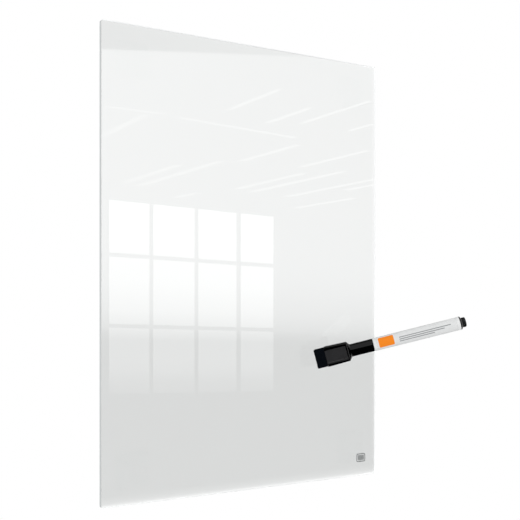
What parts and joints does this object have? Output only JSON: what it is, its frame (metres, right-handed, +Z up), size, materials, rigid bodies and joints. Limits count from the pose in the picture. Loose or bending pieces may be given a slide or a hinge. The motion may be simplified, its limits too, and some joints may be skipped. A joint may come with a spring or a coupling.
{
  "type": "acrylic whiteboard",
  "caption": "Frameless upright clear acrylic whiteboard on adhesive wall pads, with a slim dry-wipe marker whose cap carries a magnet strip and an eraser felt.",
  "frame": {"origin": "centre of the board on the wall plane, which holds the adhesive pads' back faces", "axes": "+Z is up along the board's long side, +X is to the right of someone who faces the board, and +Y points into the wall, so the writing face looks along -Y"},
  "size_m": [0.2373, 0.0722, 0.297],
  "materials": {
    "clear_acrylic": "polished",
    "clear_gel": "satin",
    "black_cap_plastic": "gloss",
    "magnet_rubber": "matte",
    "seal_plastic": "satin",
    "black_felt": "matte",
    "white_barrel_plastic": "satin",
    "printed_wrap": "satin",
    "white_holder_plastic": "satin",
    "ink_soaked_nib": "matte",
    "ink_fibre": "matte",
    "clear_film": "gloss",
    "black_plug_plastic": "satin"
  },
  "bodies": {
    "board": {"acrylic_panel": "clear_acrylic", "adhesive_pad_top_left": "clear_gel", "adhesive_pad_top_right": "clear_gel", "adhesive_pad_bottom_left": "clear_gel", "adhesive_pad_bottom_right": "clear_gel"},
    "marker_cap": {"cap_housing": "black_cap_plastic", "cap_magnet": "magnet_rubber", "cap_inner_seal": "seal_plastic", "eraser_felt": "black_felt"},
    "marker_pen": {"pen_barrel": "white_barrel_plastic", "barrel_wrap": "printed_wrap", "nib_holder": "white_holder_plastic", "writing_nib": "ink_soaked_nib", "ink_reservoir": "ink_fibre", "reservoir_film": "clear_film", "pen_end_plug": "black_plug_plastic"}
  },
  "joints": [
    {"name": "marker_lift", "type": "slide", "parent": "board", "child": "marker_cap", "axis": [0, -1, 0], "range_m": [0, 0.12]},
    {"name": "pen_pull", "type": "slide", "parent": "marker_cap", "child": "marker_pen", "axis": [0.7752, -0.5799, 0.2504], "range_m": [0, 0.03]}
  ]
}
